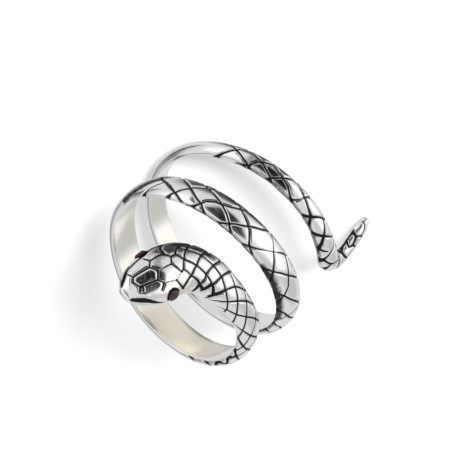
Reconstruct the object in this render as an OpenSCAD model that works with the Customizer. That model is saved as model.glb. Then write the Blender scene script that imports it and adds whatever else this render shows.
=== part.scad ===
// Snake wrap ring: one silver casting, coiled round the finger about two and a
// quarter times, with a gem in each eye. It lies on its side, on the tail and the
// last turn, with the head on top.

/* [Finger opening] */
// Diameter of the finger opening at the head's end
finger_d = 16.8; // [15.8:0.1:19]
// How much wider the opening is at the tail's end
tail_open = 0.8; // [0:0.1:1.2]

/* [Coil] */
// Length of the coil along the finger, from the neck to the tail tip
coil_l = 21.8; // [20:0.2:25]
// Width of the band where it is widest
band_w = 3.2; // [2.8:0.1:3.5]
// Height of the band over the finger opening
band_h = 1.1; // [0.9:0.05:1.4]
// Height of the plain side wall under the dome
edge_h = 0.3; // [0.2:0.05:0.4]

/* [Head] */
// Length of the head
head_l = 5; // [4.4:0.1:6]
// Width of the head across the cheeks
head_w = 4.8; // [4:0.1:5.4]
// Height of the head over the finger opening
head_h = 2.7; // [2.4:0.1:3.2]
// Depth of the mouth slit
mouth_d = 0.35; // [0.2:0.05:0.5]

/* [Scales] */
// Length of a scale on the coil
scale_l = 3; // [2.6:0.05:3.4]
// Length of the finely scaled neck
neck_l = 9.6; // [7.2:0.6:12]
// Length of a scale on the neck
neck_scale_l = 1.2; // [1:0.1:1.4]
// Length of a scale on the tail's hook
hook_scale_l = 1.4; // [1.2:0.1:1.8]
// Depth of the carved grooves
groove_d = 0.16; // [0.08:0.02:0.24]
// Width of the carved grooves
groove_w = 0.5; // [0.3:0.1:0.8]

/* [Eyes] */
// Diameter of an eye stone at its girdle
eye_d = 1.25; // [0.95:0.05:1.35]
// Height of an eye stone over its girdle
eye_crown = 0.16; // [0.1:0.02:0.24]
// Depth of an eye stone under its girdle
eye_pavilion = 0.4; // [0.3:0.05:0.5]
// Gap between an eye stone and its socket
eye_gap = 0.04; // [0.02:0.01:0.08]

/* [Rest] */
// Lean of the finger axis from upright
lean = 24.8; // [15:0.1:35]
// Turn of the ring about the finger axis as it rests
lean_turn = 0.345; // [0:0.0005:1]

/* [Hidden] */

finger_r = finger_d / 2;
mid_r = finger_r + 0.6 * band_h;
turn_l = 2 * PI * mid_r;

// Head sections from the nose to the neck: across (share of head_w), forward
// (share of head_l), wide (share of head_w), high and lift of the chin (shares of head_h).
HEAD = [
    [0.130, 1.00, 0.30, 0.62, 0.34],
    [0.115, 0.90, 0.56, 0.78, 0.30],
    [0.085, 0.66, 0.82, 0.92, 0.27],
    [0.040, 0.32, 0.97, 1.00, 0.25]
];

// Coil sections from the neck to the tail tip: turns about the finger, along
// (share of coil_l), wide (share of band_w), high (share of band_h), lift (share of head_h).
COIL = [
    [0.167, 0.000, 1.52, 2.40, 0.20],
    [0.174, 0.060, 1.50, 2.20, 0.13],
    [0.185, 0.101, 1.43, 1.90, 0.06],
    [0.200, 0.133, 1.34, 1.60, 0.02],
    [0.222, 0.165, 1.22, 1.45, 0.00],
    [0.250, 0.193, 1.05, 1.32, 0.00],
    [0.292, 0.227, 0.91, 1.18, 0.00],
    [0.333, 0.255, 0.84, 1.05, 0.00],
    [0.417, 0.271, 0.86, 0.94, 0.00],
    [0.500, 0.281, 0.89, 0.89, 0.00],
    [0.583, 0.292, 0.94, 0.86, 0.00],
    [0.667, 0.305, 1.00, 0.83, 0.00],
    [0.833, 0.345, 0.98, 0.76, 0.00],
    [1.000, 0.365, 0.94, 0.72, 0.00],
    [1.167, 0.429, 0.93, 0.88, 0.00],
    [1.333, 0.503, 0.93, 0.96, 0.00],
    [1.500, 0.547, 0.89, 0.94, 0.00],
    [1.667, 0.554, 0.78, 0.84, 0.00],
    [1.833, 0.580, 0.67, 0.80, 0.00],
    [2.000, 0.632, 0.58, 0.90, 0.00],
    [2.167, 0.715, 0.57, 0.92, 0.00],
    [2.250, 0.744, 0.61, 0.92, 0.00],
    [2.305, 0.751, 0.68, 0.92, 0.00],
    [2.336, 0.762, 0.72, 0.92, 0.00],
    [2.350, 0.806, 0.60, 0.88, 0.00],
    [2.347, 0.860, 0.48, 0.85, 0.00],
    [2.336, 0.915, 0.44, 0.82, 0.00],
    [2.324, 0.975, 0.38, 0.76, 0.00],
    [2.318, 1.004, 0.24, 0.60, 0.00]
];

// Route of the snake on the unrolled finger, nose first: round, along, wide, high, lift.
neck = [COIL[0][0] * turn_l, COIL[0][1] * coil_l];
rows = concat(
    [for (r = HEAD) [neck.x - r[0] * head_w, neck.y - r[1] * head_l, r[2] * head_w, r[3] * head_h, r[4] * head_h]],
    [for (r = COIL) [r[0] * turn_l, r[1] * coil_l, r[2] * band_w, r[3] * band_h, r[4] * head_h]]);
last = len(rows) - 1;
gaps = [for (i = [0 : last - 1]) norm([rows[i + 1].x - rows[i].x, rows[i + 1].y - rows[i].y])];
knots = [for (i = 0, s = 0; i <= last; s = s + (i < last ? gaps[i] : 0), i = i + 1) s];
rates = [for (i = [0 : last - 1]) (rows[i + 1] - rows[i]) / gaps[i]];
slopes = [for (i = [0 : last])
    i == 0 ? rates[0] : i == last ? rates[last - 1] :
    (rates[i - 1] * gaps[i] + rates[i] * gaps[i - 1]) / (gaps[i - 1] + gaps[i])];
route_l = knots[last];
neck_s = knots[len(HEAD)];

function span(s, i = 0) = i >= last - 1 || s < knots[i + 1] ? i : span(s, i + 1);
function along(s, i, g) =
    let (u = (s - knots[i]) / g)
    rows[i] * (1 + 2 * u) * (1 - u) * (1 - u) + slopes[i] * g * u * (1 - u) * (1 - u)
    + rows[i + 1] * u * u * (3 - 2 * u) + slopes[i + 1] * g * u * u * (u - 1);
function route(s) = let (c = max(0, min(route_l, s)), i = span(c)) along(c, i, gaps[i]);
function heading(s) =
    let (d = route(min(route_l, s + 0.05)) - route(max(0, s - 0.05)), n = norm([d.x, d.y]))
    [d.x / n, d.y / n];

// A point of the unrolled finger, at a height over the opening, on the real one.
function opening_r(turns) = let (u = max(0, min(1, turns - 0.9))) finger_r + tail_open / 2 * u * u * (3 - 2 * u);
function wrap(x, y, h) =
    let (a = x / mid_r * 180 / PI, r = opening_r(a / 360) + h)
    [r * cos(a), r * sin(a), y];

// A point of the skin: s along the route, q across from -1 to 1, sunk by a groove.
function skin(s, q, sunk, square = 1) =
    let (m = route(s), t = heading(s), a = 90 * q,
         side = sign(q) * pow(abs(sin(a)), square) * (m[2] / 2 - sunk),
         h = m[4] + edge_h + (m[3] - m[4] - edge_h - sunk) * pow(cos(a), square))
    wrap(m.x - t.y * side, m.y + t.x * side, h);
function under(s, q) =
    let (m = route(s), t = heading(s), side = q * m[2] / 2)
    wrap(m.x - t.y * side, m.y + t.x * side, m[4]);

// Carving. Two sets of slanting grooves cross at the middle line, half way down both
// flanks and at the rims. A scale spans four rows and four columns of the skin.
across = 16;
cuts = 4;
lip = groove_w / scale_l / 2;
part_of = [0, lip, 0.5, 1 - lip];
function lattice(i) = floor(i / cuts) + part_of[i - cuts * floor(i / cuts)];
function crossed(i, k) = (i + k) % cuts == 0 || (i - k + across) % cuts == 0 ? 1 : 0;

// The back of each turn is plain: turns about the finger where the carving stops and starts.
PLAIN = [[0.56, 0.99], [1.51, 2.05]];
function carved(s) = let (t = route(s)[0] / turn_l) len([for (p = PLAIN) if (t > p[0] && t < p[1]) p]) == 0;

// Length of the hook and of the stretch before it, where the rows stand straight.
hook_l = coil_l * 0.4;
// Places along the route where the neck scales end and the coil scales start and end.
neck_step = neck_scale_l / cuts;
neck_rows = cuts * round(neck_l / neck_scale_l);
coil_s = neck_s + (neck_rows + 1) * neck_step;
coil_rows = cuts * floor((route_l - coil_s - hook_l) / scale_l);
tail_s = coil_s + lattice(coil_rows) * scale_l;
tail_rows = cuts * round((route_l - tail_s) / hook_scale_l);

// Straight rows of the head, from the nose back. Chart of the head shields, from the
// middle line out to the mouth: x is a groove, m is the mouth slit, nose row first.
SHIELDS = [
    "........m",
    "........m",
    ".....x..m",
    "xxxx..x.m",
    "....x...m",
    "....x...m",
    "....xxx.m",
    "xxxx..x.m",
    "x...x....",
    "x....x...",
    "x....x...",
    "x....x...",
    "x...xxx..",
    "xxxx..x.."
];
head_q = [-1, -0.88, -0.8, -0.72, -0.6, -0.45, -0.3, -0.15, 0, 0.15, 0.3, 0.45, 0.6, 0.72, 0.8, 0.88, 1];
head_rows = len(SHIELDS);
// Below 1 the section of the head is fuller at its shoulders than an ellipse.
head_square = 0.85;
function shield(i, k) = let (m = SHIELDS[i][abs(k - across / 2)]) m == "x" ? 1 : 0;
function mouth(i, k) = i < head_rows * 0.58 && abs(k - across / 2) == 6 ? mouth_d : 0;

// Each row: its grooves, then the carved points of the back and the plain ones of the inside.
// From the neck on, the rows slant more and more, until they run along one set of grooves.
floor_q = [1, 0.34, -0.34, -1];
function floor_of(s, slant) = [for (q = floor_q) under(s - slant * q, q)];
head_part = [for (i = [0 : head_rows - 1])
    let (s = neck_s * i / head_rows)
    [[for (k = [0 : across]) shield(i, k)],
     concat([for (k = [0 : across]) skin(s, head_q[k], max(shield(i, k) * groove_d, mouth(i, k)), head_square)],
            floor_of(s, 0))]];
neck_part = [for (i = [0 : neck_rows])
    let (s = neck_s + i * neck_step, slant = scale_l * i / (neck_rows + 1))
    [[for (k = [0 : across]) crossed(i, k)],
     concat([for (k = [0 : across]) let (q = 2 * k / across - 1) skin(s - slant * q, q, crossed(i, k) * groove_d)],
            floor_of(s, slant))]];
function coil_place(i, k) = coil_s + (lattice(i) + lattice(i - k + across / 2)) / 2 * scale_l;
function coil_cut(i, k) = carved(coil_place(i, k)) && (i % cuts == 0 || (i - k + across) % cuts == 0) ? groove_d : 0;
// A plain stretch keeps the two middle rows of each scale: its faces are larger.
function kept(i) = i % cuts == 1 || i % cuts == 2 || carved(coil_place(i, 0)) || carved(coil_place(i, across));
coil_part = [for (i = [0 : coil_rows]) if (kept(i))
    [[for (k = [0 : across]) 1],
     concat([for (k = [0 : across])
                skin(coil_place(i, k), (lattice(i) - lattice(i - k + across / 2)) / 2, coil_cut(i, k))],
            floor_of(coil_s + lattice(i) * scale_l, scale_l))]];
function hook_cut(i, k) = i < tail_rows ? crossed(i, k) : 0;
tail_part = [for (i = [1 : tail_rows])
    let (f = i / tail_rows, s = tail_s + (route_l - tail_s) * f, slant = scale_l * max(0, 1 - 1.6 * f))
    [[for (k = [0 : across]) hook_cut(i, k)],
     concat([for (k = [0 : across]) let (q = 2 * k / across - 1) skin(s - slant * q, q, hook_cut(i, k) * groove_d)],
            floor_of(s, slant))]];
all_rows = concat(head_part, neck_part, coil_part, tail_part);

// How far the blunt nose and the tail tip stand out from the end sections.
nose_out = 0.05 * head_l;
tip_out = 0.05 * band_w;
function end_point(m, t, out) = wrap(m.x + t.x * out, m.y + t.y * out, m[3] / 2);
nose = end_point(route(0), heading(0), -nose_out);
tip = end_point(route(route_l), heading(route_l), tip_out);

// The rest: the ring leans over, and its lowest point is at height 0.
function rested(p) =
    let (a = -lean_turn * 360, b = 180 + lean,
         x = p.x * cos(a) - p.y * sin(a), y = p.x * sin(a) + p.y * cos(a))
    [x * cos(b) + p.z * sin(b), y, p.z * cos(b) - x * sin(b)];
loose = [for (p = concat([for (r = all_rows) each r[1]], [nose, tip])) rested(p)];
low = [for (a = [0 : 2]) min([for (p = loose) p[a]])];
high = [for (a = [0 : 2]) max([for (p = loose) p[a]])];
middle = [(low.x + high.x) / 2, (low.y + high.y) / 2, low.z];
skin_points = [for (p = loose) p - middle];

// Faces between neighbouring rows. A square is split along the groove that crosses it.
row_n = across + 1 + len(floor_q);
function square_faces(a, b, c, d, first) = first ? [[a, c, b], [a, d, c]] : [[a, d, b], [b, d, c]];
function cap_faces(at, peak, near) = [for (k = [0 : row_n - 1])
    let (m = (k + 1) % row_n) near ? [at + m, at + k, peak] : [at + k, at + m, peak]];
side_faces = [for (i = [0 : len(all_rows) - 2], k = [0 : row_n - 1])
    let (m = (k + 1) % row_n, a = i * row_n, b = a + row_n, p = all_rows[i][0], q = all_rows[i + 1][0],
         first = k >= across || p[k] + q[k + 1] >= q[k] + p[k + 1])
    each square_faces(a + k, b + k, b + m, a + m, first)];
skin_faces = concat(
    cap_faces(0, len(skin_points) - 2, true),
    side_faces,
    cap_faces((len(all_rows) - 1) * row_n, len(skin_points) - 1, false));

// Eyes: on both sides of the head, facing outward. The left one sits a little lower.
eye_s = neck_s * 0.72;
eye_left_q = 0.78;
eye_right_q = -0.68;
girdle = 0.05 * eye_d;
function head_skin(s, q) = rested(skin(s, q, 0, head_square));
function eye_frame(q) =
    let (step = eye_d / 4,
         a = head_skin(eye_s + step, q) - head_skin(eye_s - step, q),
         b = head_skin(eye_s, q + 0.05) - head_skin(eye_s, q - 0.05))
    [head_skin(eye_s, q) - middle, cross(a, b) / norm(cross(a, b))];
module at_eye(q) {
    f = eye_frame(q);
    translate(f[0]) rotate([0, acos(f[1].z), atan2(f[1].y, f[1].x)]) children();
}

// The casting: head, neck, coil and tail in one piece, with a socket for each eye.
module snake_coil() {
    color("silver") difference() {
        polyhedron(points = skin_points, faces = skin_faces, convexity = 12);
        for (q = [eye_left_q, eye_right_q]) at_eye(q)
            translate([0, 0, -eye_pavilion - eye_gap])
            cylinder(d = eye_d + 2 * eye_gap, h = eye_pavilion + eye_gap + eye_d, $fn = 32);
    }
}

// An eye stone: pavilion, thin girdle, crown and table, each with eight facets.
module eye_stone(q) {
    color([0.28, 0.1, 0.16]) at_eye(q) {
        translate([0, 0, -eye_pavilion]) cylinder(d1 = eye_d * 0.2, d2 = eye_d, h = eye_pavilion, $fn = 8);
        cylinder(d = eye_d, h = girdle, $fn = 8);
        translate([0, 0, girdle]) cylinder(d1 = eye_d, d2 = eye_d * 0.6, h = eye_crown, $fn = 8);
    }
}

module eye_left() eye_stone(eye_left_q);
module eye_right() eye_stone(eye_right_q);

snake_coil();
eye_left();
eye_right();
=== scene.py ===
# %% [markdown]
# # A snake wrap ring in silver
# The real ring is one casting in sterling silver: a domed band, engraved with
# scales, that winds a little over two times round the finger, from a flat head with
# two small stones to a hooked tail. It lies on its side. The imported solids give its
# size and place, and this script dresses them. Lengths are in millimetres until a
# point is put in a mesh, where they turn to metres.

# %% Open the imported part
import math

import bmesh
import bpy
import numpy as np
from mathutils import Matrix, Vector


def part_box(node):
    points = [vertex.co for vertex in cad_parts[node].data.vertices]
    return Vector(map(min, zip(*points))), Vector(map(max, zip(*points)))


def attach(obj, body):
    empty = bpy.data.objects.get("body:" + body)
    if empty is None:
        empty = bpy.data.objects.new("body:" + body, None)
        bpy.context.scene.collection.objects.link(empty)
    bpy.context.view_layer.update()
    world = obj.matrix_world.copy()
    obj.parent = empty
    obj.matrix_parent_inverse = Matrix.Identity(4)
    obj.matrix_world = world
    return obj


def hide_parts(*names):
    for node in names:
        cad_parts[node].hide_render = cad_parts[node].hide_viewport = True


MM = 0.001
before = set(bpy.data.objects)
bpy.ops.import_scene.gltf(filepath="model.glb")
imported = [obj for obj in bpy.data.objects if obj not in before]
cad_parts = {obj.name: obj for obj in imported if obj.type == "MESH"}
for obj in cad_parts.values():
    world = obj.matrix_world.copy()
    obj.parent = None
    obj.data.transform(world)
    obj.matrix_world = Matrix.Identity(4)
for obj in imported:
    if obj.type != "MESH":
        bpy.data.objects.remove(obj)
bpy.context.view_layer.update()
print("solids in the frame:", ", ".join(sorted(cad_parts)))

# %% [markdown]
# ## The line of the snake
# A jeweller casts the band flat or in wax and wraps it round a mandrel. The same is
# done here: the snake is drawn on the unrolled finger, as sections from the nose to
# the tail tip, and a smooth line runs through them. Drawing it flat keeps every
# number readable, and wrapping is one short formula.

# %% Sizes of the ring
# The opening and how much wider it is at the tail, the coil's length, the band's width and height and
# its side wall's height, and the head's length, width and height.
FINGER_D, TAIL_OPEN = 16.8, 0.8
COIL_L, BAND_W, BAND_H, EDGE_H = 21.8, 3.2, 1.1, 0.3
HEAD_L, HEAD_W, HEAD_H = 5.0, 4.8, 2.7
FINGER_R = FINGER_D / 2
# Lengths round the finger are measured this far out in the band.
MID_R = FINGER_R + 0.6 * BAND_H
TURN_L = 2 * math.pi * MID_R
print("once round the finger is", round(TURN_L, 2), "mm")

# %% Sections of the head and the coil
# Across and wide are shares of the head's width, forward of its length, high and lift of its height.
HEAD = [
    (0.130, 1.00, 0.30, 0.62, 0.34),
    (0.115, 0.90, 0.56, 0.78, 0.30),
    (0.085, 0.66, 0.82, 0.92, 0.27),
    (0.040, 0.32, 0.97, 1.00, 0.25),
]
# Turns round the finger, then shares: along the coil, band width, band height, lift.
COIL = [
    (0.167, 0.000, 1.52, 2.40, 0.20),
    (0.174, 0.060, 1.50, 2.20, 0.13),
    (0.185, 0.101, 1.43, 1.90, 0.06),
    (0.200, 0.133, 1.34, 1.60, 0.02),
    (0.222, 0.165, 1.22, 1.45, 0),
    (0.250, 0.193, 1.05, 1.32, 0),
    (0.292, 0.227, 0.91, 1.18, 0),
    (0.333, 0.255, 0.84, 1.05, 0),
    (0.417, 0.271, 0.86, 0.94, 0),
    (0.500, 0.281, 0.89, 0.89, 0),
    (0.583, 0.292, 0.94, 0.86, 0),
    (0.667, 0.305, 1.00, 0.83, 0),
    (0.833, 0.345, 0.98, 0.76, 0),
    (1.000, 0.365, 0.94, 0.72, 0),
    (1.167, 0.429, 0.93, 0.88, 0),
    (1.333, 0.503, 0.93, 0.96, 0),
    (1.500, 0.547, 0.89, 0.94, 0),
    (1.667, 0.554, 0.78, 0.84, 0),
    (1.833, 0.580, 0.67, 0.80, 0),
    (2.000, 0.632, 0.58, 0.90, 0),
    (2.167, 0.715, 0.57, 0.92, 0),
    (2.250, 0.744, 0.61, 0.92, 0),
    (2.305, 0.751, 0.68, 0.92, 0),
    (2.336, 0.762, 0.72, 0.92, 0),
    (2.350, 0.806, 0.60, 0.88, 0),
    (2.347, 0.860, 0.48, 0.85, 0),
    (2.336, 0.915, 0.44, 0.82, 0),
    (2.324, 0.975, 0.38, 0.76, 0),
    (2.318, 1.004, 0.24, 0.60, 0),
]
print(len(HEAD), "sections on the head and", len(COIL), "on the coil")

# %% [markdown]
# A cubic curve joins the sections. Each stretch of it starts and ends with the slope
# that its two neighbours share there, so the band has no kink, and its width and
# height swell and thin as evenly as its line bends.

# %% The smooth line through the sections
neck_x, neck_y = COIL[0][0] * TURN_L, COIL[0][1] * COIL_L
head_rows = [
    [neck_x - a * HEAD_W, neck_y - f * HEAD_L, w * HEAD_W, h * HEAD_H, c * HEAD_H] for a, f, w, h, c in HEAD
]
coil_rows = [[t * TURN_L, a * COIL_L, w * BAND_W, h * BAND_H, c * HEAD_H] for t, a, w, h, c in COIL]
sections = np.array(head_rows + coil_rows)
chords = np.linalg.norm(np.diff(sections[:, :2], axis=0), axis=1)
knots = np.concatenate([[0], np.cumsum(chords)])
rates = np.diff(sections, axis=0) / chords[:, None]
before, after = chords[:-1, None], chords[1:, None]
blend = (rates[:-1] * after + rates[1:] * before) / (before + after)
slopes = np.vstack([rates[:1], blend, rates[-1:]])
ROUTE_L, NECK_S = knots[-1], knots[len(HEAD)]
HEADING_STEP = 0.05


def route(s):
    """Round, along, wide, high and lift at each length s from the nose."""
    s = np.clip(s, 0, ROUTE_L)
    i = np.clip(np.searchsorted(knots, s, side="right") - 1, 0, len(chords) - 1)
    g, u = chords[i][:, None], ((s - knots[i]) / chords[i])[:, None]
    return (
        sections[i] * (1 + 2 * u) * (1 - u) ** 2
        + slopes[i] * g * u * (1 - u) ** 2
        + sections[i + 1] * u * u * (3 - 2 * u)
        + slopes[i + 1] * g * u * u * (u - 1)
    )


def heading(s):
    """The way the snake goes at s, on the unrolled finger."""
    ahead, behind = np.minimum(ROUTE_L, s + HEADING_STEP), np.maximum(0, s - HEADING_STEP)
    d = (route(ahead) - route(behind))[:, :2]
    return d / np.linalg.norm(d, axis=1)[:, None]


print(f"the snake is {ROUTE_L:.1f} mm long, and its head ends at {NECK_S:.2f} mm")

# %% [markdown]
# ## Wrapping and laying down
# A point of the unrolled finger goes round by its distance over the middle radius, and
# out by the opening's radius and its own height. Then the ring leans over, as it does
# when it is put down on a table.

# %% Wrap round the finger, then lie down
LEAN, LEAN_TURN = math.radians(24.8), 0.345
REST = Matrix.Rotation(math.pi + LEAN, 3, "Y") @ Matrix.Rotation(-LEAN_TURN * 2 * math.pi, 3, "Z")
# The opening widens towards the tail between these two turns.
WIDENS = (0.9, 1.9)


def smooth(x, low, high):
    """Rises gently from 0 at low to 1 at high."""
    t = np.clip((x - low) / (high - low), 0, 1)
    return t * t * (3 - 2 * t)


def wrap(x, y, h):
    a = x / MID_R
    r = FINGER_R + TAIL_OPEN / 2 * smooth(a / (2 * math.pi), *WIDENS) + h
    return np.stack([r * np.cos(a), r * np.sin(a), y], axis=-1)


def lay_down(points, seat=(0, 0, 0)):
    return points @ np.array(REST).T - np.array(seat)


print("the finger's axis leans", round(math.degrees(LEAN), 1), "degrees from upright")

# %% [markdown]
# ## Rows and columns of the skin
# The skin is one closed sleeve, so a flat grid of quads is all it needs: a row is a
# section of the snake, and a column runs from nose to tail. Rows stand close where
# scales are engraved, about a tenth of a millimetre, and further apart on the plain
# back of the coil. Both ends shrink to a point over a few rows, like a half ball.

# %% Row places along the snake
ENGRAVED = [(0, 29.6), (51.4, 84), (114.6, ROUTE_L)]
PLAIN_STEP, NECK_STEP, COIL_STEP = 0.35, 0.08, 0.11
NECK_END, MARGIN = 13, 0.3
NOSE_CAP, TAIL_CAP, CAP_ROWS = 0.34, 0.24, 10


def step_at(s):
    if not any(a - MARGIN < s < b + MARGIN for a, b in ENGRAVED):
        return PLAIN_STEP
    return NECK_STEP if s < NECK_END else COIL_STEP


def body_places():
    places = [0.0]
    while places[-1] < ROUTE_L:
        places.append(min(ROUTE_L, places[-1] + step_at(places[-1])))
    return np.array(places)


body = body_places()
# The cap's rows go from its pole, at 90 degrees, to just short of the body.
cap = np.radians(np.linspace(90, 9, CAP_ROWS))
row_s = np.concatenate([np.zeros(CAP_ROWS), body, np.full(CAP_ROWS, ROUTE_L)])
row_push = np.concatenate([-NOSE_CAP * np.sin(cap), body * 0, TAIL_CAP * np.sin(cap[::-1])])
row_size = np.concatenate([np.cos(cap), body * 0 + 1, np.cos(cap[::-1])])
print(len(row_s), "rows")

# %% [markdown]
# Round the section, a column is described by what it hangs on: the flat sole that
# lies on the finger, a small rounded edge, a low side wall, and the dome. The place
# across the dome is q, from -1 to 1, and it runs on past 1 down the side wall, so
# that an engraved line can run over the edge, as the graver does.

# %% Column places round the section
EDGE_R, DOME_N = 0.12, 72
# Each is: share of the half width, of the edge's radius inward and upward, and of the side wall's height.
sole_half = [(v, -v, 0, 0) for v in (0, 0.35, 0.7)]
edge = [(1, math.sin(a) - 1, 1 - math.cos(a), 0) for a in np.radians([0, 30, 60, 90])]
half = sole_half + edge + [(1, 0, 0.5, 0.5), (1, 0, 0, 1)]
other_half = [(-a, -b, c, d) for a, b, c, d in half[::-1]]
below = np.array(half + [(0, 0, 0, 1)] * (DOME_N - 1) + other_half)
across, round_in, round_up, wall_up = below.T
column_q = np.zeros(len(below))
column_q[len(half) - 1 : len(half) + DOME_N] = np.linspace(1, -1, DOME_N + 1)
on_dome = np.zeros(len(below), bool)
on_dome[len(half) - 1 : len(half) + DOME_N] = True
# The sole takes in the first two columns of the round edge.
on_sole = (wall_up == 0) & (round_up < 0.2)
flank = np.sign(len(below) / 2 - np.arange(len(below)) - 0.5)
print(len(below), "columns,", int(on_dome.sum()), "on the dome")

# %% The section at every row
# The dome is a half ellipse on the coil, and a little squarer on the head.
HEAD_SQUARE, HEAD_FADES = 0.85, (4.2, 5.8)
# The sole counts as this far past the edge, and an untouched place as this many line widths away.
SOLE_AWAY, UNTOUCHED = 3.0, 9.0
section = route(row_s)
half_w, dome_h = section[:, 2] / 2, section[:, 3] - section[:, 4] - EDGE_H
arc = math.pi / 4 * np.sqrt(2 * (half_w**2 + dome_h**2))
square = HEAD_SQUARE + (1 - HEAD_SQUARE) * smooth(row_s, *HEAD_FADES)
height_on_wall = EDGE_R * round_up + EDGE_H * wall_up
beyond = np.where(on_dome, 0, np.where(on_sole, SOLE_AWAY, EDGE_H - height_on_wall))
flat_s = np.repeat((row_s + row_push)[:, None], len(below), axis=1)
flat_y = arc[:, None] * np.where(on_dome, column_q, flank) + flank * beyond
groove = np.full(flat_s.shape, UNTOUCHED)
sunk = np.zeros(flat_s.shape)
dark = np.zeros(flat_s.shape)
print("the widest half dome measures", round(arc.max(), 2), "mm over its curve")

# %% [markdown]
# ## Engraving
# On the real ring the lines are carved in the master, cast, blackened and then
# polished off the high places, so they stay black and the scales between them shine.
# Each line is a few points along the snake and across it. It presses the skin down
# with soft shoulders, which catch the light, and it leaves behind how far each point
# lies from it, in line widths, so that the finish can blacken it with a crisp edge.

# %% One engraved line
# A line that goes over the edge has reached the foot of the side wall at q = 1.2.
OVER_EDGE, LINE_REACH = 0.2, 0.9
CUT_W, CUT_DEPTH, CUT_SHOULDER, DEEPEST = 0.17, 0.11, (0.3, 1.75), 1.3
VEIL_AND_REFLECTION_EDGE, TINY = (0.3, 1.5), 1e-9


def flat_point(s, q):
    a = float(np.interp(s, row_s[CAP_ROWS:-CAP_ROWS], arc[CAP_ROWS:-CAP_ROWS]))
    beyond_edge = max(0, abs(q) - 1) / OVER_EDGE * EDGE_H
    return s, math.copysign(min(abs(q), 1) * a + beyond_edge, q)


def stretches(points, reach):
    """Each stretch of a line: the rows it reaches, the distance from it there, and its share of the width."""
    for one, two in zip(points[:-1], points[1:]):
        (x1, y1), (x2, y2) = flat_point(*one[:2]), flat_point(*two[:2])
        w1, w2 = (p[2] if len(p) > 2 else 1 for p in (one, two))
        rows = (flat_s[:, 0] > min(x1, x2) - reach) & (flat_s[:, 0] < max(x1, x2) + reach)
        fs, fy = flat_s[rows], flat_y[rows]
        length2 = max(TINY, (x2 - x1) ** 2 + (y2 - y1) ** 2)
        t = np.clip(((fs - x1) * (x2 - x1) + (fy - y1) * (y2 - y1)) / length2, 0, 1)
        away = np.hypot(fs - x1 - t * (x2 - x1), fy - y1 - t * (y2 - y1))
        yield rows, away, w1 + (w2 - w1) * t


def engrave(points, width=CUT_W, depth=CUT_DEPTH):
    """A carved line. A point is (length from the nose, place across), and may have its share of the width."""
    for rows, away, share in stretches(points, LINE_REACH):
        widths = away / (width / 2 * share)
        cut_here = depth * np.minimum(DEEPEST, share) * (1 - smooth(widths, *CUT_SHOULDER))
        groove[rows] = np.minimum(groove[rows], widths)
        sunk[rows] = np.maximum(sunk[rows], cut_here)


def veil_and_painted_reflection(points, width, amount):
    """A soft grey strip: black left on the skin, and painted dark reflection."""
    for rows, away, share in stretches(points, width):
        here = amount * (1 - smooth(away / (width / 2 * share), *VEIL_AND_REFLECTION_EDGE))
        dark[rows] = np.maximum(dark[rows], here)


print("a line is", CUT_W, "mm wide and", CUT_DEPTH, "mm deep, unless it says otherwise")


# %% [markdown]
# ### Shields on the head
# A snake's crown has large plates: one long shield on the snout, two behind it with a
# fine seam between, and narrow ones along the brow. Behind the jaw the lines are cut
# deep and wide. They are placed from the photograph.

# %% Head shields
# Each is: width, depth, points.
SHIELD_LINES = [
    (0.15, 0.07, [(0.82, 0.08), (1.17, 0.2), (2.9, 0.14), (3.33, 0.01), (2.75, -0.12), (1.1, -0.08),
                  (0.82, 0.08)]),
    (0.15, 0.07, [(2.9, 0.14), (3.42, 0.26), (4.86, 0.26), (5.34, 0.15), (4.9, 0)]),
    (0.14, 0.065, [(2.75, -0.12), (3.18, -0.23)]),
    (0.15, 0.065, [(4.9, 0), (5.46, -0.22), (5.79, -0.18)]),
    (0.15, 0.065, [(3.42, 0.26), (3.2, 0.42)]),
    (0.15, 0.065, [(1.17, 0.2), (1.05, 0.42)]),
    # Fine seams.
    (0.08, 0.03, [(3.18, -0.23), (4.41, -0.31)]),
    (0.08, 0.03, [(4.41, -0.31), (5.46, -0.22)]),
    (0.08, 0.03, [(3.33, 0.01), (4.9, 0)]),
    # Short cuts towards the near brow.
    (0.17, 0.1, [(3.18, -0.23), (2.68, -0.38)]),
    (0.2, 0.12, [(1.1, -0.08), (0.86, -0.2)]),
    (0.17, 0.1, [(1.3, -0.12), (1.12, -0.24)]),
    # Deep cuts behind the crown, and the far brow.
    (0.25, 0.14, [(4.95, 0.25), (5.05, 0.45), (5.6, 0.66)]),
    (0.24, 0.14, [(4.41, -0.31, 0.7), (4.7, -0.47, 1), (5.2, -0.65, 1.4)]),
    (0.28, 0.1, [(0.25, 0.76, 1.6), (0.6, 0.7, 1.6), (1.2, 0.61), (1.9, 0.56), (2.8, 0.55), (3.6, 0.55),
                 (4.4, 0.58), (5.6, 0.66)]),
]
for width, depth, line in SHIELD_LINES:
    engrave(line, width, depth)
print(len(SHIELD_LINES), "lines on the head")

# %% [markdown]
# ### Neck
# The neck has small scales, about four across, that grow longer as the neck thins
# into the coil. Their lines cross on the back and end in heavy notches at the jaw.

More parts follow.
